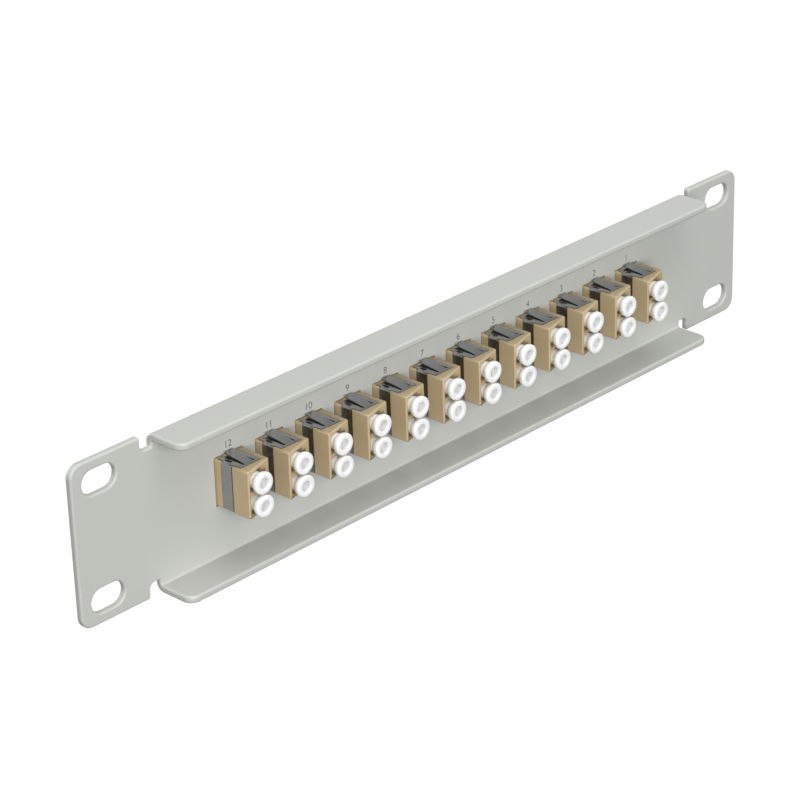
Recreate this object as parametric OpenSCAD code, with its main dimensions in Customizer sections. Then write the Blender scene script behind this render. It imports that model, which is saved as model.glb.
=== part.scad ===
// Ten inch fibre patch panel, one unit high, with a row of duplex adapters.
// +X runs to the right and +Z up as the panel is seen from its flanged rear.
// The rear face of the sheet lies at y = 0, and the flanges point to -Y.

/* [Panel] */
// Width over the two ears
panel_w = 254; // [240:1:300]
// Height of the ears
panel_h = 44; // [42:0.5:50]
// Thickness of the folded sheet
sheet_t = 2; // [1.2:0.1:2.5]
// Radius of the ears' outer corners
ear_corner_r = 3.5; // [1:0.5:6]
// Width of an ear, outside the flanges
ear_w = 25.4; // [24:0.1:30]
// How far the flanges reach behind the rear face
flange_depth = 10.7; // [6:0.1:14]
// How far a flange's outer face lies inside the ears' edges
flange_inset = 0.3; // [0.1:0.1:1]
// Radius of the flanges' free corners
flange_corner_r = 3; // [1:0.5:5]
// Inner radius of the folds
fold_r = 0.6; // [0.3:0.1:1.2]

/* [Corner reliefs] */
// Width of the relief cut between an ear and a flange
relief_w = 3.4; // [2:0.1:5]
// Depth of the relief cut from the ear's edge
relief_depth = 4; // [3.8:0.1:6]

/* [Rack slots] */
// Distance from a slot's centre to the ear's outer edge
slot_edge = 8.75; // [8:0.25:12]
// Distance between the slots' centres up the panel
slot_pitch_z = 31.75; // [28:0.25:33]
// Length of a slot
slot_len = 10.5; // [8:0.1:12]
// Height of a slot
slot_h = 6.5; // [5:0.1:7]

/* [Adapter row] */
// Number of adapters
adapter_count = 12; // [2:1:12]
// Distance between neighbouring adapters
adapter_pitch = 14; // [12.8:0.1:15]
// Height of the row's middle above the panel's middle
row_rise = 0.8; // [-2:0.1:2]
// Clearance around an adapter in its cut-out
cutout_gap = 0.25; // [0.05:0.05:0.3]

/* [Housing] */
// Width of a housing
body_w = 9.4; // [9.2:0.1:10]
// Height of a housing
body_h = 13; // [12.6:0.1:14]
// Overall length of a housing
body_len = 28; // [26:0.5:32]
// Length of a housing behind the panel's rear face
rear_len = 11.8; // [10:0.1:13]
// Radius of a housing's long edges
body_edge_r = 0.5; // [0.2:0.1:0.8]
// How far the mouth slants back towards its latch side
mouth_slant = 2.4; // [0.5:0.1:3]
// How far the collar that bears on the panel's front stands past the housing's sides
collar_side = 1.3; // [0.8:0.1:1.5]
// How far the collar stands past the housing's top and bottom
collar_rise = 1.2; // [0.8:0.1:1.5]
// Thickness of the collar
collar_t = 2; // [1:0.1:3]
// Distance between the two ports of a housing
port_pitch = 6.25; // [6.1:0.05:6.5]
// Width of a port beside its latch channel
port_w = 4.6; // [4.5:0.1:5]
// Height of a port
port_h = 4.9; // [4.8:0.1:5.3]
// How far the ports' middle lies below the sleeves' axis
port_drop = 0.2; // [0:0.05:0.2]
// Distance from a housing's plain side to its ports
port_wall = 1; // [0.8:0.1:1.2]
// Width of a latch channel
latch_w = 2.2; // [1.5:0.1:2.6]
// Height of a latch channel
latch_h = 2.6; // [2:0.1:3.5]
// Depth of a latch channel from the mouth
latch_depth = 7.5; // [6:0.1:9]
// Thickness of the wall between the rear and front ports
web_t = 2; // [1.5:0.1:3]

/* [Sleeve carrier] */
// Outer radius of a carrier's post
post_r = 1.2; // [1.15:0.05:1.4]
// How far a post reaches from the housing's middle
post_reach = 6.2; // [5.5:0.1:7]
// Radius of the carrier's seat in the wall between the ports
seat_r = 1.8; // [1.6:0.1:2]
// Radial clearance of the carrier in its seat
seat_gap = 0.02; // [0.01:0.01:0.05]
// Radius of the ferrule entry at a post's end
entry_r = 0.66; // [0.64:0.01:0.7]
// Outer radius of a ceramic sleeve
sleeve_r = 0.8; // [0.75:0.01:0.85]
// Inner radius of a ceramic sleeve
sleeve_bore_r = 0.62; // [0.6:0.01:0.65]
// Length of a ceramic sleeve
sleeve_len = 6.8; // [6:0.1:7.5]
// Width of the sleeve's slit
sleeve_slit = 0.2; // [0.1:0.05:0.3]
// Clearance around a sleeve in its carrier
sleeve_gap = 0.05; // [0.03:0.01:0.1]

/* [Spring clip] */
// Thickness of the clip's steel strip
clip_t = 0.3; // [0.2:0.05:0.4]
// Distance from the panel's rear face to the clip's band
band_start = 2.3; // [1.5:0.1:3]
// Width of the band on the housing's side
band_w = 3.6; // [3:0.1:4.4]
// Clearance around the clip in its seat
seat_margin = 0.3; // [0.1:0.05:0.3]
// Distance from the panel's rear face to the clip's plate
plate_start = 0.5; // [0.4:0.1:1]
// Length of the plate
plate_len = 7.9; // [7:0.1:8.2]
// Width of the plate
plate_w = 6.7; // [6:0.1:7]
// Distance from the clip's side to its plate
plate_side = 0.8; // [0.6:0.1:1]
// Distance from the plate's side to its wing
wing_side = 2.1; // [1.9:0.1:2.2]
// Width of a wing
wing_w = 2.9; // [2:0.1:3]
// Width of the slits beside a wing
wing_slit = 0.5; // [0.3:0.05:0.6]
// Length of the plate past a wing's root
wing_root = 0.7; // [0.5:0.1:1]
// How far a wing's free edge stands off the housing
wing_lift = 1; // [0.5:0.1:1.5]
// Length of the hole beside a wing
hole_len = 2.1; // [1.5:0.1:2.5]
// Width of the hole
hole_w = 0.9; // [0.5:0.1:1]
// Distance from the panel's rear face to the hole's middle
hole_mid = 3.3; // [2.5:0.1:4.5]
// Depth of the housing's pocket under the hole
hole_depth = 0.2; // [0.1:0.05:0.2]

/* [Dust cap] */
// Radius of a cap's plug
plug_r = 2.15; // [2:0.05:2.2]
// How deep a plug reaches past the mouth
plug_len = 9.2; // [8.8:0.1:9.4]
// Radius of a cap's rim
rim_r = 2.95; // [2.7:0.01:2.96]
// Thickness of the rim
rim_t = 1; // [0.9:0.1:1.2]
// Length of the cone between plug and rim
cone_len = 1.6; // [0.5:0.1:1.7]
// How far the rim's face stands past the mouth
cap_proud = 2.4; // [2.4:0.1:3]
// Edge radius of the rim
rim_edge_r = 0.25; // [0.2:0.05:0.4]
// Radius of the hole in the rim's face
dimple_r = 1.4; // [1:0.05:1.5]
// Depth of the hole in the rim's face
dimple_depth = 2.6; // [1:0.1:3]
// Radial running clearance of a plug on its post
cap_gap = 0.05; // [0.02:0.01:0.1]
// Room past the post's end inside a plug
cap_end_room = 0.4; // [0.2:0.1:0.8]

/* [Hidden] */
// Overrun of the cuts
cut = 0.2;
$fn = 48;

flange_z = panel_h / 2 - flange_inset;
fold_outer_r = fold_r + sheet_t;
flange_len = panel_w - 2 * ear_w;
slot_x = panel_w / 2 - slot_edge;
relief_x = flange_len / 2 + relief_w / 2;
relief_z = panel_h / 2 - relief_depth;
mid_y = body_len / 2 - rear_len;
front_y = body_len - rear_len;
port_x = -body_w / 2 + port_wall + port_w / 2;
plate_x = plate_side - body_w / 2;
plate_end = plate_start + plate_len;
wing_x = plate_x + wing_side;
wing_end = plate_end - wing_root;
hole_x = plate_x + (wing_side - wing_slit) / 2;
post_end_y = mid_y - post_reach;
plug_end_y = -rear_len + plug_len;
sides = ["upper", "lower"];

function adapter_x(n) = ((adapter_count + 1) / 2 - n) * adapter_pitch;
function side_sign(side) = side == "upper" ? 1 : -1;
function two(n) = n < 10 ? str("0", n) : str(n);
function adapter_names(stem) = [for (n = [1:adapter_count]) str(stem, two(n))];
function cap_name(n, side) = str("rear_cap_", two(n), "_", side);

// A flat shape drawn in x and z, given depth from y0 to y1
module slab(y0, y1) {
    translate([0, y1, 0])
        rotate([90, 0, 0])
            linear_extrude(y1 - y0)
                children();
}

// A flat shape drawn in y and z, given a length along x about the middle
module along_x(len) {
    rotate([90, 0, 90])
        linear_extrude(len, center = true)
            children();
}

// A rectangle with round corners
module rounded_plate(w, h, r) {
    square([w - 2 * r, h], center = true);
    square([w, h - 2 * r], center = true);
    for (sx = [-1, 1])
        for (sz = [-1, 1])
            translate([sx * (w / 2 - r), sz * (h / 2 - r)])
                circle(r);
}

// A slot with round ends
module oblong(len, h) {
    square([len - h, h], center = true);
    for (sx = [-1, 1])
        translate([sx * (len - h) / 2, 0])
            circle(h / 2);
}

// Block in y and z with its two corners at the web rounded
module channel_block(y_web, z_flange, r) {
    translate([-flange_depth, -z_flange])
        square([flange_depth + y_web - r, 2 * z_flange]);
    translate([-flange_depth, -(z_flange - r)])
        square([flange_depth + y_web, 2 * (z_flange - r)]);
    for (sz = [-1, 1])
        translate([y_web - r, sz * (z_flange - r)])
            circle(r);
}

// Section of the channel: web, folds and flanges
module channel_section() {
    difference() {
        channel_block(sheet_t, flange_z, fold_outer_r);
        channel_block(0, flange_z - sheet_t, fold_r);
        translate([-flange_depth - cut, sheet_t - flange_z])
            square([2 * cut, 2 * (flange_z - sheet_t)]);
    }
}

// Round cut at a flange's free corner
module flange_corner(sx) {
    translate([sx * (flange_len / 2 - flange_corner_r), flange_corner_r - flange_depth, 0])
        difference() {
            translate([sx * (flange_corner_r + cut) / 2, -(flange_corner_r + cut) / 2, 0])
                cube([flange_corner_r + cut, flange_corner_r + cut, panel_h], center = true);
            cylinder(r = flange_corner_r, h = panel_h + 2 * cut, center = true);
        }
}

// Window over a fold: it leaves the round reliefs beside the ears
module relief_window(sz) {
    bottom = relief_w / 2 + relief_z;
    for (sx = [-1, 1])
        translate([sx * relief_x, sz * bottom])
            circle(relief_w / 2);
    translate([0, sz * (bottom + relief_depth / 2)])
        square([flange_len + 2 * relief_w, relief_depth], center = true);
    translate([0, sz * (relief_z + relief_depth / 2)])
        square([2 * relief_x, relief_depth], center = true);
}

module ears() {
    slab(0, sheet_t)
        difference() {
            rounded_plate(panel_w, panel_h, ear_corner_r);
            for (sz = [-1, 1])
                relief_window(sz);
            for (sx = [-1, 1])
                for (sz = [-1, 1])
                    translate([sx * slot_x, sz * slot_pitch_z / 2])
                        oblong(slot_len, slot_h);
        }
}

module panel() {
    color([0.74, 0.75, 0.72])
        difference() {
            union() {
                ears();
                difference() {
                    along_x(flange_len)
                        channel_section();
                    for (sx = [-1, 1])
                        flange_corner(sx);
                }
            }
            slab(-cut, sheet_t + cut)
                for (n = [1:adapter_count])
                    translate([adapter_x(n), row_rise])
                        square([body_w + 2 * cutout_gap, body_h + 2 * cutout_gap], center = true);
        }
}

// Moves a shape made about the row's middle to one adapter's place
module at_adapter(n) {
    translate([adapter_x(n), 0, row_rise])
        children();
}

// The other end of a housing, mirrored about its middle
module to_front() {
    translate([0, 2 * mid_y, 0])
        mirror([0, 1, 0])
            children();
}

// A shape on a housing's top, and its mirror image on the underside
module on_both_faces() {
    children();
    mirror([0, 0, 1])
        children();
}

// Slanted cut at the mouth, seen from above
module mouth_cut() {
    linear_extrude(body_h + 2 * cut, center = true)
        polygon([
            [-body_w / 2, -rear_len],
            [body_w / 2, mouth_slant - rear_len],
            [body_w / 2 + cut, mouth_slant - rear_len],
            [body_w / 2 + cut, -rear_len - cut],
            [-body_w / 2, -rear_len - cut]
        ]);
}

// One rear port with the channel for a plug's latch
module port_cut() {
    slab(-rear_len - cut, mid_y - web_t / 2)
        translate([port_x, -port_drop])
            square([port_w, port_h], center = true);
    slab(-rear_len - cut, latch_depth - rear_len)
        translate([port_x + port_w / 2 - cut, -port_drop - latch_h / 2])
            square([latch_w + cut, latch_h]);
}

// The band's outline around a housing, open at the latch side
module band_shape(extra) {
    translate([-body_w / 2 - extra, -body_h / 2 - extra])
        square([clip_t + extra, body_h + 2 * extra]);
    for (sz = [-1, 1])
        translate([-body_w / 2, sz * (body_h / 2 + (extra - clip_t) / 2) - (clip_t + extra) / 2])
            square([hole_x + body_w / 2, clip_t + extra]);
}

// Puts a flat shape drawn in x and y on the clip's plate, from a depth below it up
module on_plate(depth, h) {
    translate([0, 0, body_h / 2 - clip_t - depth])
        linear_extrude(h)
            children();
}

// Outline of the hole beside a wing
module hole_shape() {
    translate([hole_x, -hole_mid])
        rotate(90)
            oblong(hole_len, hole_w);
}

// Seat of the clip: its band, its plates and the pockets under their holes
module clip_seat() {
    slab(-band_start - band_w - seat_margin, seat_margin - band_start)
        band_shape(body_edge_r);
    on_both_faces() {
        on_plate(0, clip_t + cut)
            translate([plate_x - seat_margin, -plate_end - seat_margin])
                square([plate_w + 2 * seat_margin, plate_len + 2 * seat_margin]);
        on_plate(hole_depth, hole_depth + cut)
            hole_shape();
    }
}

module housing(n) {
    color([0.74, 0.64, 0.48])
        at_adapter(n)
            difference() {
                union() {
                    slab(-rear_len, front_y)
                        rounded_plate(body_w, body_h, body_edge_r);
                    slab(sheet_t, sheet_t + collar_t)
                        rounded_plate(body_w + 2 * collar_side, body_h + 2 * collar_rise, body_edge_r);
                }
                mouth_cut();
                to_front()
                    mouth_cut();
                for (side = sides)
                    translate([0, 0, side_sign(side) * port_pitch / 2]) {
                        port_cut();
                        to_front()
                            port_cut();
                        translate([port_x, mid_y, 0])
                            rotate([90, 0, 0])
                                cylinder(r = seat_r, h = web_t + 2 * cut, center = true);
                    }
                clip_seat();
            }
}

// Side view of a wing with its root, in y and z above the housing
module wing_profile() {
    top = body_h / 2;
    polygon([
        [-plate_end, top - clip_t],
        [-plate_end, top],
        [-wing_end, top],
        [-plate_start, top + wing_lift],
        [-plate_start, top + wing_lift - clip_t],
        [-wing_end, top - clip_t]
    ]);
}

// Flat plate with the slits and the hole, without its wing
module clip_plate() {
    on_plate(0, clip_t)
        difference() {
            translate([plate_x, -plate_end])
                square([plate_w, plate_len]);
            translate([wing_x - wing_slit, -wing_end])
                square([wing_w + 2 * wing_slit, plate_len]);
            hole_shape();
        }
}

module clip(n) {
    color([0.5, 0.5, 0.5])
        at_adapter(n) {
            difference() {
                slab(-band_start - band_w, -band_start)
                    intersection() {
                        rounded_plate(body_w, body_h, body_edge_r);
                        band_shape(0);
                    }
                on_both_faces()
                    on_plate(cut, clip_t + 2 * cut)
                        hole_shape();
            }
            on_both_faces() {
                clip_plate();
                translate([wing_x + wing_w / 2, 0, 0])
                    along_x(wing_w)
                        wing_profile();
            }
        }
}

// Half section of a cap: radius along x, depth behind the mouth along y
module cap_section() {
    rim_back = cap_proud - rim_t;
    difference() {
        union() {
            translate([0, -plug_len])
                square([plug_r, plug_len + rim_back - cone_len]);
            polygon([
                [0, rim_back - cone_len],
                [plug_r, rim_back - cone_len],
                [rim_r - rim_edge_r, rim_back],
                [0, rim_back]
            ]);
            translate([0, rim_back])
                square([rim_r - rim_edge_r, rim_t]);
            translate([0, rim_back + rim_edge_r])
                square([rim_r, rim_t - 2 * rim_edge_r]);
            for (y = [rim_back + rim_edge_r, cap_proud - rim_edge_r])
                translate([rim_r - rim_edge_r, y])
                    circle(rim_edge_r);
        }
        translate([-cut, cap_proud - dimple_depth])
            square([dimple_r + cut, dimple_depth + cut]);
        translate([-cut, -plug_len - cut])
            square([post_r + cap_gap + cut, plug_end_y - post_end_y + cap_end_room + cut]);
    }
}

// A cap in the rear port of one side, about the row's middle
module cap(side) {
    translate([port_x, -rear_len, side_sign(side) * port_pitch / 2])
        rotate([90, 0, 0])
            rotate_extrude()
                cap_section();
}

module rear_cap(n, side) {
    color([0.95, 0.95, 0.95])
        at_adapter(n)
            cap(side);
}

module front_caps() {
    color([0.95, 0.95, 0.95])
        for (n = [1:adapter_count])
            at_adapter(n)
                to_front()
                    for (side = sides)
                        cap(side);
}

// Half section of a carrier: radius along x, place along the axis in y
module carrier_section() {
    bore_r = sleeve_r + sleeve_gap;
    difference() {
        union() {
            translate([0, -post_reach])
                square([post_r, 2 * post_reach]);
            translate([0, -web_t / 2])
                square([seat_r - seat_gap, web_t]);
        }
        translate([-cut, -post_reach - cut])
            square([entry_r + cut, 2 * (post_reach + cut)]);
        translate([-cut, -sleeve_len / 2 - sleeve_gap])
            square([bore_r + cut, sleeve_len + 2 * sleeve_gap]);
    }
}

// Repeats a piece made about an axis along z in every port's axis
module at_every_port() {
    for (n = [1:adapter_count])
        for (side = sides)
            at_adapter(n)
                translate([port_x, mid_y, side_sign(side) * port_pitch / 2])
                    rotate([90, 0, 0])
                        children();
}

module sleeve_carriers() {
    color([0.88, 0.87, 0.82])
        at_every_port()
            rotate_extrude()
                carrier_section();
}

module sleeves() {
    color([0.97, 0.97, 0.95])
        at_every_port()
            difference() {
                cylinder(r = sleeve_r, h = sleeve_len, center = true);
                cylinder(r = sleeve_bore_r, h = sleeve_len + 2 * cut, center = true);
                translate([0, -sleeve_slit / 2, -sleeve_len / 2 - cut])
                    cube([sleeve_r + cut, sleeve_slit, sleeve_len + 2 * cut]);
            }
}

panel();
for (n = [1:adapter_count]) {
    housing(n);
    clip(n);
    for (side = sides)
        rear_cap(n, side);
}
sleeve_carriers();
sleeves();
front_caps();
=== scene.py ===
"""Looks of a ten inch fibre patch panel: sheet metal, moulded adapters, spring clips and dust caps.

+X runs along the panel, +Z is up, and the flanged rear of the panel faces -Y.
All sizes are in metres.
"""

import math

import bmesh
import bpy
from mathutils import Matrix, Vector


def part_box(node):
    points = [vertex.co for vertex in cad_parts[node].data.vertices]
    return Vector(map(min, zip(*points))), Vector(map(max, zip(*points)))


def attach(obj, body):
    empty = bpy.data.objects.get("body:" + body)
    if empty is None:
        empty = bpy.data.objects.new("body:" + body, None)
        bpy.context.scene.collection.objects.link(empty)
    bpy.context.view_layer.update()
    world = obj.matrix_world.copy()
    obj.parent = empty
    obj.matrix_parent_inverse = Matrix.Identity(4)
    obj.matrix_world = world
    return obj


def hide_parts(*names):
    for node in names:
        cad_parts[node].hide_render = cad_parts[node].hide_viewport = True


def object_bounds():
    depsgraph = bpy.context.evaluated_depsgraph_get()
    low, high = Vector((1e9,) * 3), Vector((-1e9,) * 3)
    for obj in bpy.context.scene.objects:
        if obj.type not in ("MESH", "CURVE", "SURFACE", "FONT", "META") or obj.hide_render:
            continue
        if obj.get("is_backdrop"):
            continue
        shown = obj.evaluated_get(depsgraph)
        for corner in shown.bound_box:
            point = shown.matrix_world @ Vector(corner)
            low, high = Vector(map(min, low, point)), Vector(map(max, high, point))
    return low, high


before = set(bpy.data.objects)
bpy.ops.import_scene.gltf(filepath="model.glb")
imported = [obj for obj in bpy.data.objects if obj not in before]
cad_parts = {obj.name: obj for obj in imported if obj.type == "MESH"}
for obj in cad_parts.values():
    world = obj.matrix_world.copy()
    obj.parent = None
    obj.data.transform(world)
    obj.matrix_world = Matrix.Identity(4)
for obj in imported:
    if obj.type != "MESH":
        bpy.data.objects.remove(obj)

bl_info = {
    "name": "Fibre patch panel",
    "version": (1, 0, 0),
    "blender": (4, 5, 0),
    "location": "3D View > Sidebar > Patch panel",
    "description": "Builds the visible pieces of a fibre patch panel and its studio",
    "category": "Object",
}

MM = 0.001
ROOT_BODY = "frame"
SIDES = ("upper", "lower")
ADAPTERS = sorted(name[-2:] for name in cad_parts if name.startswith("housing_"))

# Edges that bend by more than this are rounded
SHARP_ANGLE = math.radians(30)
# Edges that bend by less than this are shaded smooth
SMOOTH_ANGLE = math.radians(35)
# Points that differ by less than this along the port count as level
NEAR = 0.01 * MM

# The cut-outs lie within this distance of the row of sleeve carriers and of the panel's middle
CUTOUT_REACH = 12 * MM
# How far a housing's slanted mouths reach in from its two ends
MOUTH_SLANT = 2.6 * MM
# From a housing's middle to the top, and to the underside, of its body
BODY_HALF_HEIGHT = 6.5 * MM
# How deep the clip sits in the housing's faces
CLIP_SEAT_DEPTH = 0.3 * MM
# Lowest and highest corner of the clip's window and of the hole beside it:
# x from the housing's middle, y in the panel's own frame
CLIP_OPENINGS = (
    ((-2.3 * MM, -7.7 * MM), (1.6 * MM, -0.5 * MM)),
    ((-3.55 * MM, -4.35 * MM), (-2.65 * MM, -2.25 * MM)),
)
# How far a pocket's cutter stands out of the face that it cuts
CUTTER_PROUD = 0.2 * MM
# Allowance on the depths between which a face counts as part of a pocket
POCKET_MARGIN = 0.02 * MM

# Number of straight steps that make up a cap's curved flare
FLARE_STEPS = 6
# Height of a digit as a share of the type's size
DIGIT_SHARE = 0.7

CARRIER_COLOUR = (0.62, 0.60, 0.53)
CERAMIC_COLOUR = (0.88, 0.88, 0.86)

# The studio's square floor and its grey; the lift brightens it for the camera alone
FLOOR_SIZE = 12
FLOOR_GREY = 0.08
FLOOR_LIFT = 0.93
# Square lights that aim at the panel: name, place, width and watts
LIGHTS = (
    ("overhead_light", (-0.3, -0.6, 2.95), 2.5, 58),
    ("rear_side_light", (-1.45, -2.51, 0.83), 1.6, 84),
    ("front_side_light", (-0.3, 2.95, 0.25), 1.6, 60),
)
# Width of the camera's sensor in millimetres, and the nearest and furthest distance it sees
SENSOR_WIDTH = 36
VIEW_RANGE = (0.01, 20)


def box_centre(node):
    """The middle of a node's box."""
    low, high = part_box(node)
    return (Vector(low) + Vector(high)) / 2


# Sizes and colours that a user may change

class SheetSettings(bpy.types.PropertyGroup):
    arris: bpy.props.FloatProperty(
        name="Edge radius", description="Radius of the painted sheet's edges",
        default=0.6 * MM, unit="LENGTH")
    cutout_arris: bpy.props.FloatProperty(
        name="Cut-out edge", description="Radius of the edges of the adapters' cut-outs",
        default=0.12 * MM, unit="LENGTH")
    paint: bpy.props.FloatVectorProperty(
        name="Paint", description="Colour of the powder coat", subtype="COLOR", size=3,
        default=(0.49, 0.50, 0.47))
    grain: bpy.props.FloatProperty(
        name="Paint grain", description="Distance between the bumps of the powder coat",
        default=0.9 * MM, unit="LENGTH")


class AdapterSettings(bpy.types.PropertyGroup):
    mouth_edge: bpy.props.FloatProperty(
        name="Mouth edge", description="Radius of a housing's edges at its mouths",
        default=0.6 * MM, unit="LENGTH")
    pocket_depth: bpy.props.FloatProperty(
        name="Pocket depth", description="Depth of the housing's pockets under the clip's openings",
        default=0.95 * MM, unit="LENGTH")
    lower_pocket_depth: bpy.props.FloatProperty(
        name="Lower pocket depth", description="Depth of the pockets on the housing's underside",
        default=0.6 * MM, unit="LENGTH")
    small_edge: bpy.props.FloatProperty(
        name="Small edge", description="Radius of a housing's other moulded edges",
        default=0.1 * MM, unit="LENGTH")
    plastic: bpy.props.FloatVectorProperty(
        name="Plastic", description="Colour of the housings", subtype="COLOR", size=3,
        default=(0.50, 0.395, 0.235))
    # Painted shade: a near-black colour laid on the pockets' walls and floors in place of the deep
    # shadow that falls there
    pocket: bpy.props.FloatVectorProperty(
        name="Pocket", description="Colour inside the pockets, which lie in deep shade",
        subtype="COLOR", size=3, default=(0.06, 0.052, 0.042))
    strip_edge: bpy.props.FloatProperty(
        name="Strip edge", description="Radius of the clip's sheared edges",
        default=0.05 * MM, unit="LENGTH")
    steel: bpy.props.FloatVectorProperty(
        name="Steel", description="Colour of the clips", subtype="COLOR", size=3,
        default=(0.40, 0.40, 0.41))


class CapSettings(bpy.types.PropertyGroup):
    segments: bpy.props.IntProperty(
        name="Segments", description="Faces around a dust cap", default=48, min=24, max=96)
    plug_radius: bpy.props.FloatProperty(
        name="Plug radius", description="Radius of the plug that fills a port",
        default=2.15 * MM, unit="LENGTH")
    cone_length: bpy.props.FloatProperty(
        name="Cone length", description="Length of the flare between plug and rim",
        default=1.6 * MM, unit="LENGTH")
    rim_thickness: bpy.props.FloatProperty(
        name="Rim thickness", description="Thickness of the round rim",
        default=0.8 * MM, unit="LENGTH")
    hole_radius: bpy.props.FloatProperty(
        name="Hole radius", description="Radius of the hole in the rim's face",
        default=1.4 * MM, unit="LENGTH")
    hole_depth: bpy.props.FloatProperty(
        name="Hole depth", description="Depth of the hole in the rim's face",
        default=4.2 * MM, unit="LENGTH")
    bore_radius: bpy.props.FloatProperty(
        name="Bore radius", description="Radius of the bore that takes the sleeve carrier's post",
        default=1.25 * MM, unit="LENGTH")
    bore_depth: bpy.props.FloatProperty(
        name="Bore depth", description="Depth of the bore in the plug's end",
        default=1.8 * MM, unit="LENGTH")
    rim_edge: bpy.props.FloatProperty(
        name="Rim edge", description="Radius of the rim's outer edges",
        default=0.42 * MM, unit="LENGTH")
    hole_edge: bpy.props.FloatProperty(
        name="Hole edge", description="Radius of the edge of the hole in the rim's face",
        default=0.3 * MM, unit="LENGTH")
    white: bpy.props.FloatVectorProperty(
        name="White", description="Colour of the caps", subtype="COLOR", size=3,
        default=(0.86, 0.86, 0.86))


class PrintSettings(bpy.types.PropertyGroup):
    height: bpy.props.FloatProperty(
        name="Digit height", description="Height of a printed number",
        default=1.9 * MM, unit="LENGTH")
    rise: bpy.props.FloatProperty(
        name="Rise", description="Height of a number's middle above the middle of its housing",
        default=8.9 * MM, unit="LENGTH")
    thickness: bpy.props.FloatProperty(
        name="Ink thickness", description="Thickness of the printed ink",
        default=0.02 * MM, unit="LENGTH")
    ink: bpy.props.FloatVectorProperty(
        name="Ink", description="Colour of the numbers", subtype="COLOR", size=3,
        default=(0.11, 0.11, 0.11))


class StageSettings(bpy.types.PropertyGroup):
    azimuth: bpy.props.FloatProperty(
        name="Azimuth", description="Turn of the camera about the panel",
        default=math.radians(-46.42), subtype="ANGLE")
    elevation: bpy.props.FloatProperty(
        name="Elevation", description="Height angle of the camera",
        default=math.radians(24.93), subtype="ANGLE")
    roll: bpy.props.FloatProperty(
        name="Roll", description="Turn of the camera about its own axis",
        default=math.radians(-1.53), subtype="ANGLE")
    distance: bpy.props.FloatProperty(
        name="Distance", description="Distance from the camera to the point it aims at",
        default=761.3 * MM, unit="LENGTH")
    aim: bpy.props.FloatVectorProperty(
        name="Aim", description="Point that the camera aims at", subtype="TRANSLATION", size=3,
        default=(-3.41 * MM, 0, 1.61 * MM))
    focal_share: bpy.props.FloatProperty(
        name="Focal share", description="Focal length as a share of the sensor's width",
        default=3.602)
    shift: bpy.props.FloatVectorProperty(
        name="Shift", description="Sideways and upward shift of the view", size=2,
        default=(-0.0402, -0.0288))
    floor_drop: bpy.props.FloatProperty(
        name="Floor drop", description="Distance from the panel down to the studio floor",
        default=70 * MM, unit="LENGTH")
    world_level: bpy.props.FloatProperty(
        name="World level", description="Strength of the soft light from all around", default=0.25)


# Modelling helpers

def deselect_all():
    """Leaves edit mode and deselects every object."""
    if bpy.context.object and bpy.context.object.mode != "OBJECT":
        bpy.ops.object.mode_set(mode="OBJECT")
    bpy.ops.object.select_all(action="DESELECT")


def work_on(piece):
    """Makes one piece the only selected and the active one."""
    deselect_all()
    piece.select_set(True)
    bpy.context.view_layer.objects.active = piece


def finish_piece(piece, material, body, slot_name, *nodes):
    """Gives a finished piece its material and says what it rides on and stands for."""
    piece.data.materials.clear()
    piece.data.materials.append(material)
    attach(piece, body)
    if nodes:
        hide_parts(*nodes)


def merged_copy(node, name):
    """A closed copy of a node's mesh, with its loose triangles joined into flat faces."""
    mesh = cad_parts[node].data.copy()
    mesh.name = name
    mesh.materials.clear()
    piece = bpy.data.objects.new(name, mesh)
    bpy.context.scene.collection.objects.link(piece)
    work_on(piece)
    bpy.ops.object.mode_set(mode="EDIT")
    bpy.ops.mesh.select_all(action="SELECT")
    bpy.ops.mesh.remove_doubles(threshold=0.002 * MM)
    bpy.ops.mesh.dissolve_limited(angle_limit=math.radians(0.5))
    bpy.ops.object.mode_set(mode="OBJECT")
    return piece


def edge_middle(edge):
    """The point halfway along an edge."""
    return (edge.verts[0].co + edge.verts[1].co) / 2


def round_edges(piece, radius, segments, chosen=lambda edge: True, clamp=True):
    """Bevels the sharp edges that a test chooses; clamp narrows bevels that would overlap."""
    work_on(piece)
    bpy.ops.object.mode_set(mode="EDIT")
    bpy.ops.mesh.select_mode(type="EDGE")
    bpy.ops.mesh.select_all(action="DESELECT")
    shape = bmesh.from_edit_mesh(piece.data)
    for edge in shape.edges:
        if len(edge.link_faces) == 2 and edge.calc_face_angle() > SHARP_ANGLE and chosen(edge):
            edge.select_set(True)
    bmesh.update_edit_mesh(piece.data)
    bpy.ops.mesh.bevel(
        offset=radius, segments=segments, profile=0.5, clamp_overlap=clamp, loop_slide=clamp)
    bpy.ops.object.mode_set(mode="OBJECT")


def smooth(piece):
    """Shades rounded edges smooth, keeps large faces flat and cuts all faces into triangles."""
    work_on(piece)
    bpy.ops.object.shade_smooth_by_angle(angle=SMOOTH_ANGLE)
    weighted = piece.modifiers.new("weighted_normals", "WEIGHTED_NORMAL")
    weighted.weight = 100
    weighted.keep_sharp = True
    bpy.ops.object.modifier_apply(modifier=weighted.name)
    triangles = piece.modifiers.new("triangles", "TRIANGULATE")
    triangles.keep_custom_normals = True
    bpy.ops.object.modifier_apply(modifier=triangles.name)


def moved_copy(piece, name, offset):
    """A copy with its own mesh, moved by an offset in the mesh itself."""
    mesh = piece.data.copy()
    mesh.name = name
    mesh.transform(Matrix.Translation(offset))
    copy = bpy.data.objects.new(name, mesh)
    bpy.context.scene.collection.objects.link(copy)
    return copy


def join(pieces, name):
    """Joins pieces into one, under a new name."""
    deselect_all()
    for piece in pieces:
        piece.select_set(True)
    bpy.context.view_layer.objects.active = pieces[0]
    bpy.ops.object.join()
    pieces[0].name = name
    pieces[0].data.name = name
    return pieces[0]


# Materials

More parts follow.
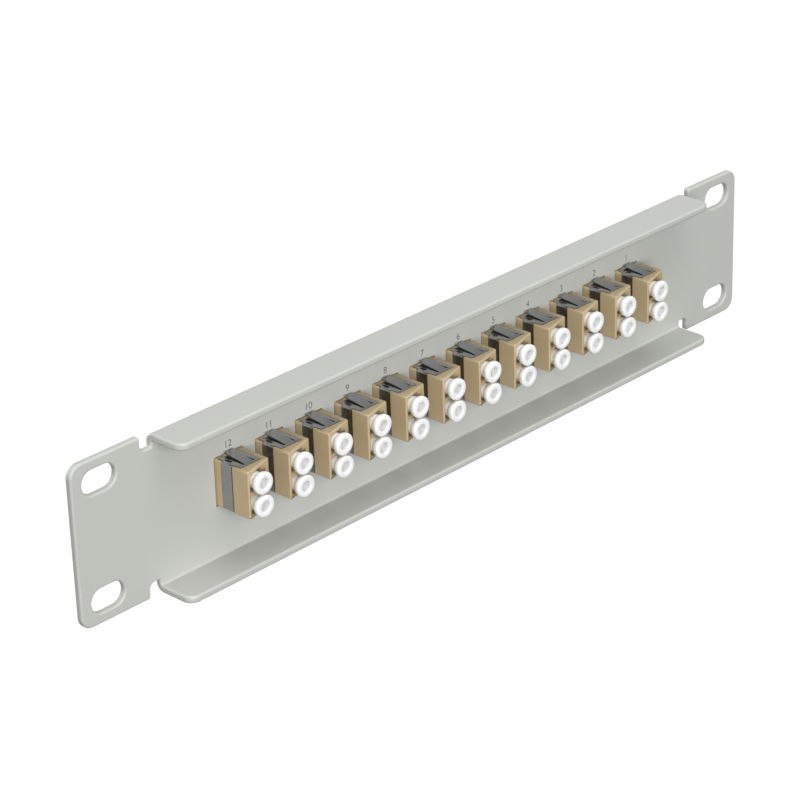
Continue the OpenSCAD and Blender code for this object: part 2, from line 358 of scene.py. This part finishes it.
def new_material(name):
    """A new material, its node tree and its shader."""
    material = bpy.data.materials.new(name)
    material.use_nodes = True
    tree = material.node_tree
    return material, tree, tree.nodes["Principled BSDF"]


def object_noise(tree, cell, detail, stretch=(1, 1, 1), rough=0.5):
    """Noise with cells of a given size in metres, which may be stretched along an axis."""
    place = tree.nodes.new("ShaderNodeTexCoord")
    turn = tree.nodes.new("ShaderNodeMapping")
    turn.inputs["Scale"].default_value = stretch
    noise = tree.nodes.new("ShaderNodeTexNoise")
    noise.inputs["Scale"].default_value = 1 / cell
    noise.inputs["Detail"].default_value = detail
    noise.inputs["Roughness"].default_value = rough
    tree.links.new(place.outputs["Object"], turn.inputs["Vector"])
    tree.links.new(turn.outputs["Vector"], noise.inputs["Vector"])
    return noise.outputs["Fac"]


def spread(tree, value, low, high):
    """Maps the middle of a noise onto a range."""
    ramp = tree.nodes.new("ShaderNodeMapRange")
    ramp.inputs["From Min"].default_value = 0.3
    ramp.inputs["From Max"].default_value = 0.7
    ramp.inputs["To Min"].default_value = low
    ramp.inputs["To Max"].default_value = high
    tree.links.new(value, ramp.inputs["Value"])
    return ramp.outputs["Result"]


def tone(tree, shader, colour, value, share):
    """Varies a base colour a little, darker and lighter, by a noise."""
    mix = tree.nodes.new("ShaderNodeMix")
    mix.data_type = "RGBA"
    mix.inputs["A"].default_value = (*[c * (1 - share) for c in colour], 1)
    mix.inputs["B"].default_value = (*[min(1, c * (1 + share)) for c in colour], 1)
    tree.links.new(spread(tree, value, 0, 1), mix.inputs["Factor"])
    tree.links.new(mix.outputs["Result"], shader.inputs["Base Color"])


def bump(tree, shader, value, depth, strength, under=None):
    """Raises a noise as small bumps, on top of other bumps where they are given."""
    node = tree.nodes.new("ShaderNodeBump")
    node.inputs["Strength"].default_value = strength
    node.inputs["Distance"].default_value = depth
    tree.links.new(value, node.inputs["Height"])
    if under:
        tree.links.new(under, node.inputs["Normal"])
    tree.links.new(node.outputs["Normal"], shader.inputs["Normal"])
    return node.outputs["Normal"]


def powder_coat(settings):
    """Satin paint with shallow bumps and a finer grain on them."""
    material, tree, shader = new_material("powder_coat")
    broad = object_noise(tree, cell=40 * MM, detail=3)
    peel = object_noise(tree, cell=settings.grain, detail=2)
    fine = object_noise(tree, cell=settings.grain / 5, detail=3, rough=0.6)
    tone(tree, shader, settings.paint, broad, share=0.012)
    tree.links.new(spread(tree, fine, low=0.42, high=0.56), shader.inputs["Roughness"])
    under = bump(tree, shader, peel, depth=0.012 * MM, strength=0.5)
    bump(tree, shader, fine, depth=0.004 * MM, strength=0.5, under=under)
    return material


def moulded_plastic(name, colour, roughness):
    """Satin moulded plastic with a fine eroded grain and faint flow marks."""
    material, tree, shader = new_material(name)
    flow = object_noise(tree, cell=5 * MM, detail=2, stretch=(1, 0.3, 1))
    grain = object_noise(tree, cell=0.12 * MM, detail=3, rough=0.6)
    tone(tree, shader, colour, flow, share=0.02)
    varied = spread(tree, grain, low=roughness - 0.05, high=roughness + 0.07)
    tree.links.new(varied, shader.inputs["Roughness"])
    bump(tree, shader, grain, depth=0.003 * MM, strength=0.5)
    return material


def rolled_steel(colour):
    """Spring steel with rolling marks along the strip's length."""
    material, tree, shader = new_material("rolled_steel")
    marks = object_noise(tree, cell=0.6 * MM, detail=3, stretch=(1, 4, 0.15))
    grain = object_noise(tree, cell=0.1 * MM, detail=2)
    shader.inputs["Metallic"].default_value = 1.0
    tone(tree, shader, colour, marks, share=0.08)
    tree.links.new(spread(tree, marks, low=0.14, high=0.24), shader.inputs["Roughness"])
    under = bump(tree, shader, marks, depth=0.003 * MM, strength=0.4)
    bump(tree, shader, grain, depth=0.001 * MM, strength=0.4, under=under)
    return material


def soft_white_plastic(colour):
    """Soft translucent plastic of the dust caps."""
    material, tree, shader = new_material("cap_plastic")
    cloud = object_noise(tree, cell=2.5 * MM, detail=2)
    skin = object_noise(tree, cell=0.3 * MM, detail=2)
    tone(tree, shader, colour, cloud, share=0.01)
    shader.inputs["Subsurface Weight"].default_value = 0.5
    shader.inputs["Subsurface Radius"].default_value = (1, 0.95, 0.9)
    shader.inputs["Subsurface Scale"].default_value = 1.2 * MM
    tree.links.new(spread(tree, skin, low=0.3, high=0.4), shader.inputs["Roughness"])
    bump(tree, shader, skin, depth=0.003 * MM, strength=0.4)
    return material


def ground_ceramic():
    """Pale ceramic with faint grinding rings around each sleeve."""
    material, tree, shader = new_material("ground_ceramic")
    rings = object_noise(tree, cell=0.2 * MM, detail=2, stretch=(0.3, 3, 0.3))
    tone(tree, shader, CERAMIC_COLOUR, rings, share=0.02)
    tree.links.new(spread(tree, rings, low=0.15, high=0.25), shader.inputs["Roughness"])
    bump(tree, shader, rings, depth=0.001 * MM, strength=0.3)
    return material


def printed_ink(colour):
    """Dark ink with fine speckles."""
    material, tree, shader = new_material("printed_ink")
    speckle = object_noise(tree, cell=0.15 * MM, detail=3)
    tone(tree, shader, colour, speckle, share=0.25)
    tree.links.new(spread(tree, speckle, low=0.5, high=0.7), shader.inputs["Roughness"])
    bump(tree, shader, speckle, depth=0.002 * MM, strength=0.4)
    return material


# Pieces

class PATCH_OT_sheet(bpy.types.Operator):
    """Rounds the edges of the folded sheet and paints it"""
    bl_idname = "patch.sheet"
    bl_label = "Folded sheet"

    def execute(self, context):
        settings = context.scene.patch_sheet
        piece = merged_copy("panel", "folded_sheet")
        low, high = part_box("sleeve_carriers")

        def at_cutout(edge):
            middle = edge_middle(edge)
            in_row = low[0] - CUTOUT_REACH < middle.x < high[0] + CUTOUT_REACH
            return in_row and abs(middle.z) < CUTOUT_REACH

        def off_cutout(edge):
            return not at_cutout(edge)

        round_edges(piece, settings.arris, segments=5, chosen=off_cutout, clamp=False)
        round_edges(piece, settings.cutout_arris, segments=2, chosen=at_cutout)
        smooth(piece)
        finish_piece(piece, powder_coat(settings), ROOT_BODY, "panel_paint", "panel")
        return {"FINISHED"}


class PATCH_OT_housings(bpy.types.Operator):
    """Rounds the moulded edges of one housing and copies it along the row"""
    bl_idname = "patch.housings"
    bl_label = "Adapter housings"

    def execute(self, context):
        settings = context.scene.patch_adapter
        material = moulded_plastic("housing_plastic", settings.plastic, roughness=0.42)
        # Painted shade: a near-black plastic for the pockets, standing in for the shadow that falls
        # deep inside them
        painted_shade = moulded_plastic("painted_pocket_shade", settings.pocket, roughness=0.6)
        first = "housing_" + ADAPTERS[0]
        pattern = merged_copy(first, "housing_pattern")
        low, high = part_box(first)
        start = box_centre(first)
        self.sink_pockets(pattern, start, 1, settings.pocket_depth)
        self.sink_pockets(pattern, start, -1, settings.lower_pocket_depth)

        def at_mouth(edge):
            ends = [v.co.y for v in edge.verts]
            return max(ends) < low[1] + MOUTH_SLANT or min(ends) > high[1] - MOUTH_SLANT

        def off_mouth(edge):
            return not at_mouth(edge)

        round_edges(pattern, settings.mouth_edge, segments=3, chosen=at_mouth)
        round_edges(pattern, settings.small_edge, segments=2, chosen=off_mouth)
        smooth(pattern)
        for number in ADAPTERS:
            node = "housing_" + number
            piece = moved_copy(pattern, "moulded_" + node, box_centre(node) - start)
            finish_piece(piece, material, ROOT_BODY, "housing_plastic", node)
            self.shade_pockets(piece, box_centre(node), painted_shade, settings)
        bpy.data.objects.remove(pattern)
        return {"FINISHED"}

    def sink_pockets(self, piece, middle, face, depth):
        """Cuts pockets under the clip's openings, in the top (face 1) or the underside (-1)."""
        surface = middle.z + face * BODY_HALF_HEIGHT
        cutter_z = surface - face * (depth - CUTTER_PROUD) / 2
        for (x0, y0), (x1, y1) in CLIP_OPENINGS:
            deselect_all()
            spot = (middle.x + (x0 + x1) / 2, (y0 + y1) / 2, cutter_z)
            bpy.ops.mesh.primitive_cube_add(size=1, location=spot)
            cutter = bpy.context.object
            cutter.scale = (x1 - x0, y1 - y0, depth + CUTTER_PROUD)
            bpy.ops.object.transform_apply(location=True, rotation=True, scale=True)
            work_on(piece)
            cut = piece.modifiers.new("pocket", "BOOLEAN")
            cut.operation = "DIFFERENCE"
            cut.object = cutter
            bpy.ops.object.modifier_apply(modifier=cut.name)
            bpy.data.objects.remove(cutter)

    def shade_pockets(self, piece, middle, painted_shade, settings):
        """Paints the walls and floors of the pockets with the near-black painted shade, a stand-in
        for the deep shadow that falls there.
        """
        piece.data.materials.append(painted_shade)
        for face in piece.data.polygons:
            spot = face.center - middle
            below = BODY_HALF_HEIGHT - abs(spot.z)
            depth = settings.pocket_depth if spot.z > 0 else settings.lower_pocket_depth
            if not CLIP_SEAT_DEPTH + POCKET_MARGIN < below < depth + POCKET_MARGIN:
                continue
            for (x0, y0), (x1, y1) in CLIP_OPENINGS:
                in_width = x0 - CUTTER_PROUD < spot.x < x1 + CUTTER_PROUD
                in_length = y0 - CUTTER_PROUD < face.center.y < y1 + CUTTER_PROUD
                if in_width and in_length:
                    # Painted shade on this pocket face
                    face.material_index = 1


class PATCH_OT_clips(bpy.types.Operator):
    """Rounds the sheared edges of one spring clip and copies it along the row"""
    bl_idname = "patch.clips"
    bl_label = "Spring clips"

    def execute(self, context):
        settings = context.scene.patch_adapter
        material = rolled_steel(settings.steel)
        first = "clip_" + ADAPTERS[0]
        pattern = merged_copy(first, "clip_pattern")
        round_edges(pattern, settings.strip_edge, segments=2)
        smooth(pattern)
        start = box_centre(first)
        for number in ADAPTERS:
            node = "clip_" + number
            piece = moved_copy(pattern, "spring_" + node, box_centre(node) - start)
            finish_piece(piece, material, ROOT_BODY, "clip_steel", node)
        bpy.data.objects.remove(pattern)
        return {"FINISHED"}


class PATCH_OT_caps(bpy.types.Operator):
    """Shapes one dust cap and sets it in every rear and front port"""
    bl_idname = "patch.caps"
    bl_label = "Dust caps"

    def execute(self, context):
        settings = context.scene.patch_caps
        material = soft_white_plastic(settings.white)
        first = "rear_cap_" + ADAPTERS[0] + "_upper"
        pattern = self.shaped_cap(first, settings)
        start = box_centre(first)
        housing_middle = box_centre("housing_" + ADAPTERS[0]).y
        pivot = Vector((start.x, housing_middle, start.z))
        half_turn = Matrix.Rotation(math.pi, 4, "Z")
        to_front = Matrix.Translation(pivot) @ half_turn @ Matrix.Translation(-pivot)
        front = []
        for number in ADAPTERS:
            for side in SIDES:
                node = "rear_cap_" + number + "_" + side
                way = box_centre(node) - start
                piece = moved_copy(pattern, "dust_" + node, way)
                finish_piece(piece, material, "cap_" + number + "_" + side, "cap_plastic", node)
                twin = moved_copy(pattern, "front_cap_" + number + "_" + side, (0, 0, 0))
                twin.data.transform(Matrix.Translation(way) @ to_front)
                front.append(twin)
        bpy.data.objects.remove(pattern)
        front_caps = join(front, "front_dust_caps")
        finish_piece(front_caps, material, ROOT_BODY, "cap_plastic", "front_caps")
        return {"FINISHED"}

    def shaped_cap(self, node, settings):
        """A plug that flares into a rim with a blind hole, drawn out in steps from a disc."""
        low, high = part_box(node)
        centre = box_centre(node)
        rim_radius = (high[0] - low[0]) / 2
        face_y = low[1]
        rim_back_y = face_y + settings.rim_thickness
        cone_y = rim_back_y + settings.cone_length
        deselect_all()
        bpy.ops.mesh.primitive_circle_add(
            vertices=settings.segments, radius=settings.plug_radius, fill_type="NGON",
            location=(centre.x, high[1], centre.z), rotation=(math.pi / 2, 0, 0))
        cap = bpy.context.object
        cap.name = "cap_pattern"
        bpy.ops.object.transform_apply(location=True, rotation=True, scale=True)
        bpy.ops.object.mode_set(mode="EDIT")
        bpy.ops.mesh.select_mode(type="FACE")
        bpy.ops.mesh.select_all(action="SELECT")
        self.draw_out(cone_y - high[1])
        radius = settings.plug_radius
        for step in range(1, FLARE_STEPS + 1):
            share = math.sin(math.pi / 2 * step / FLARE_STEPS)
            wider = settings.plug_radius + (rim_radius - settings.plug_radius) * share
            self.draw_out(-settings.cone_length / FLARE_STEPS, wider / radius, centre)
            radius = wider
        self.draw_out(-settings.rim_thickness)
        bpy.ops.mesh.inset(thickness=rim_radius - settings.hole_radius)
        self.draw_out(settings.hole_depth)
        self.choose_end(cap, high[1])
        bpy.ops.mesh.inset(thickness=settings.plug_radius - settings.bore_radius)
        self.draw_out(-settings.bore_depth)
        bpy.ops.mesh.select_all(action="SELECT")
        bpy.ops.mesh.normals_make_consistent(inside=False)
        bpy.ops.object.mode_set(mode="OBJECT")

        # Edges past the first radius lie on the rim, and edges within the second on the hole
        inside_rim = rim_radius * 0.97
        outside_hole = settings.hole_radius * 1.05

        def off_axis(edge):
            middle = edge_middle(edge)
            return math.hypot(middle.x - centre.x, middle.z - centre.z), middle.y

        def on_rim(edge):
            radius, y = off_axis(edge)
            return radius > inside_rim and y < rim_back_y + NEAR

        def on_hole(edge):
            radius, y = off_axis(edge)
            return radius < outside_hole and y < face_y + NEAR

        round_edges(cap, settings.rim_edge, segments=4, chosen=on_rim)
        round_edges(cap, settings.hole_edge, segments=4, chosen=on_hole)
        smooth(cap)
        return cap

    def draw_out(self, distance, scale=1, centre=None):
        """Extrudes the chosen face along the port and resizes its new end about the axis."""
        bpy.ops.mesh.extrude_region_move(TRANSFORM_OT_translate={"value": (0, distance, 0)})
        if scale != 1:
            bpy.ops.transform.resize(value=(scale, 1, scale), center_override=centre)

    def choose_end(self, cap, y):
        """Selects the faces that lie flat at one depth, such as the plug's inner end."""
        bpy.ops.mesh.select_all(action="DESELECT")
        shape = bmesh.from_edit_mesh(cap.data)
        for face in shape.faces:
            face.select_set(all(abs(v.co.y - y) < NEAR for v in face.verts))
        bmesh.update_edit_mesh(cap.data)


class PATCH_OT_sleeves(bpy.types.Operator):
    """Gives the sleeve carriers and the ceramic sleeves their materials"""
    bl_idname = "patch.sleeves"
    bl_label = "Sleeves and carriers"

    def execute(self, context):
        materials = {
            "sleeve_carriers": moulded_plastic("carrier_plastic", CARRIER_COLOUR, roughness=0.4),
            "sleeves": ground_ceramic(),
        }
        for node, material in materials.items():
            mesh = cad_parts[node].data
            mesh.materials.clear()
            mesh.materials.append(material)
        return {"FINISHED"}


class PATCH_OT_numbers(bpy.types.Operator):
    """Prints a plain number above every adapter, on both faces of the sheet"""
    bl_idname = "patch.numbers"
    bl_label = "Port numbers"

    def execute(self, context):
        settings = context.scene.patch_print
        material = printed_ink(settings.ink)
        _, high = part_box("panel")
        to_sheet_front = Matrix.Translation((0, high[1], 0))
        half_turn = Matrix.Rotation(math.pi, 4, "Z")
        upright = Matrix.Rotation(math.pi / 2, 4, "X")
        faces = {
            "rear_port_numbers": upright,
            "front_port_numbers": to_sheet_front @ half_turn @ upright,
        }
        for name, face in faces.items():
            piece = join([self.number(number, face, settings) for number in ADAPTERS], name)
            finish_piece(piece, material, ROOT_BODY, "panel_paint")
        return {"FINISHED"}

    def number(self, number, face, settings):
        """One printed number above its housing, turned onto a face of the sheet."""
        deselect_all()
        bpy.ops.object.text_add()
        text = bpy.context.object
        text.data.body = str(int(number))
        text.data.align_x = "CENTER"
        text.data.align_y = "CENTER"
        text.data.size = settings.height / DIGIT_SHARE
        text.data.extrude = settings.thickness / 2
        bpy.ops.object.convert(target="MESH")
        centre = box_centre("housing_" + number)
        spot = Matrix.Translation((centre.x, 0, centre.z + settings.rise))
        text.data.transform(spot @ face)
        return text


# Stage

class PATCH_OT_stage(bpy.types.Operator):
    """Adds the floor, the soft lights and the camera"""
    bl_idname = "patch.stage"
    bl_label = "Studio"

    def execute(self, context):
        settings = context.scene.patch_stage
        context.scene.view_settings.view_transform = "Standard"
        self.floor(settings)
        self.world(settings)
        self.lights()
        self.camera(settings)
        return {"FINISHED"}

    def floor(self, settings):
        """A pale floor below the panel."""
        low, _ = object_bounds()
        deselect_all()
        bpy.ops.mesh.primitive_plane_add(
            size=FLOOR_SIZE, location=(0, 0, low[2] - settings.floor_drop))
        floor = bpy.context.object
        floor.name = "studio_floor"
        floor.data.materials.append(self.floor_material())
        floor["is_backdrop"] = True

    def floor_material(self):
        """Dark for the light that it throws back at the panel, and white for the camera."""
        material, tree, shader = new_material("studio_floor")
        shader.inputs["Base Color"].default_value = (FLOOR_GREY, FLOOR_GREY, FLOOR_GREY, 1)
        shader.inputs["Roughness"].default_value = 0.9
        shader.inputs["Emission Color"].default_value = (1, 1, 1, 1)
        path = tree.nodes.new("ShaderNodeLightPath")
        lift = tree.nodes.new("ShaderNodeMath")
        lift.operation = "MULTIPLY"
        lift.inputs[1].default_value = FLOOR_LIFT
        tree.links.new(path.outputs["Is Camera Ray"], lift.inputs[0])
        tree.links.new(lift.outputs[0], shader.inputs["Emission Strength"])
        return material

    def world(self, settings):
        """Soft light from all around, which is white where it is seen."""
        world = bpy.data.worlds.new("studio_world")
        world.use_nodes = True
        tree = world.node_tree
        back = tree.nodes["Background"]
        back.inputs["Color"].default_value = (1, 1, 1, 1)
        level = tree.nodes.new("ShaderNodeMapRange")
        level.inputs["To Min"].default_value = settings.world_level
        level.inputs["To Max"].default_value = 1.0
        tree.links.new(seen_ray(tree), level.inputs["Value"])
        tree.links.new(level.outputs["Result"], back.inputs["Strength"])
        bpy.context.scene.world = world

    def lights(self):
        """Large soft lights, turned towards the panel's middle."""
        for name, place, width, watts in LIGHTS:
            lamp = bpy.data.lights.new(name, "AREA")
            lamp.shape = "SQUARE"
            lamp.size = width
            lamp.energy = watts
            light = bpy.data.objects.new(name, lamp)
            bpy.context.scene.collection.objects.link(light)
            turn = (-Vector(place)).to_track_quat("-Z", "Y").to_matrix().to_4x4()
            light.matrix_world = Matrix.Translation(place) @ turn

    def camera(self, settings):
        """A camera where the photo's camera stood, as fitted to the panel's outline."""
        lens = bpy.data.cameras.new("photo_camera")
        lens.sensor_width = SENSOR_WIDTH
        lens.lens = settings.focal_share * SENSOR_WIDTH
        lens.shift_x, lens.shift_y = settings.shift
        lens.clip_start, lens.clip_end = VIEW_RANGE
        camera = bpy.data.objects.new("photo_camera", lens)
        bpy.context.scene.collection.objects.link(camera)
        az, el = settings.azimuth, settings.elevation
        back = Vector((math.sin(az) * math.cos(el), -math.cos(az) * math.cos(el), math.sin(el)))
        right = (-back).cross(Vector((0, 0, 1))).normalized()
        up = right.cross(-back)
        turned_right = right * math.cos(settings.roll) + up * math.sin(settings.roll)
        turned_up = up * math.cos(settings.roll) - right * math.sin(settings.roll)
        axes = Matrix((turned_right, turned_up, back)).transposed().to_4x4()
        place = Vector(settings.aim) + back * settings.distance
        camera.matrix_world = Matrix.Translation(place) @ axes
        bpy.context.scene.camera = camera


def seen_ray(tree):
    """One for rays from the camera, and for those seen in gloss or through glass."""
    path = tree.nodes.new("ShaderNodeLightPath")
    seen = path.outputs["Is Camera Ray"]
    for kind in ("Is Glossy Ray", "Is Transmission Ray"):
        either = tree.nodes.new("ShaderNodeMath")
        either.operation = "MAXIMUM"
        tree.links.new(seen, either.inputs[0])
        tree.links.new(path.outputs[kind], either.inputs[1])
        seen = either.outputs[0]
    return seen


OPERATORS = (
    PATCH_OT_sheet,
    PATCH_OT_housings,
    PATCH_OT_clips,
    PATCH_OT_caps,
    PATCH_OT_sleeves,
    PATCH_OT_numbers,
    PATCH_OT_stage,
)

SETTINGS = {
    "patch_sheet": SheetSettings,
    "patch_adapter": AdapterSettings,
    "patch_caps": CapSettings,
    "patch_print": PrintSettings,
    "patch_stage": StageSettings,
}


class PATCH_PT_pieces(bpy.types.Panel):
    """Lists the pieces of the patch panel and their settings"""
    bl_idname = "PATCH_PT_pieces"
    bl_label = "Patch panel"
    bl_space_type = "VIEW_3D"
    bl_region_type = "UI"
    bl_category = "Patch panel"

    def draw(self, context):
        for operator in OPERATORS:
            self.layout.operator(operator.bl_idname)
        for settings_name, settings_type in SETTINGS.items():
            settings = getattr(context.scene, settings_name)
            for key in settings_type.__annotations__:
                self.layout.prop(settings, key)


def register():
    for settings_name, settings_type in SETTINGS.items():
        bpy.utils.register_class(settings_type)
        setattr(bpy.types.Scene, settings_name, bpy.props.PointerProperty(type=settings_type))
    for operator in OPERATORS:
        bpy.utils.register_class(operator)
    bpy.utils.register_class(PATCH_PT_pieces)


def unregister():
    bpy.utils.unregister_class(PATCH_PT_pieces)
    for operator in reversed(OPERATORS):
        bpy.utils.unregister_class(operator)
    for settings_name, settings_type in SETTINGS.items():
        delattr(bpy.types.Scene, settings_name)
        bpy.utils.unregister_class(settings_type)


def main():
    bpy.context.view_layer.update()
    register()
    bpy.ops.patch.sheet()
    bpy.ops.patch.housings()
    bpy.ops.patch.clips()
    bpy.ops.patch.caps()
    bpy.ops.patch.sleeves()
    bpy.ops.patch.numbers()
    bpy.ops.patch.stage()


if __name__ == "__main__":
    main()
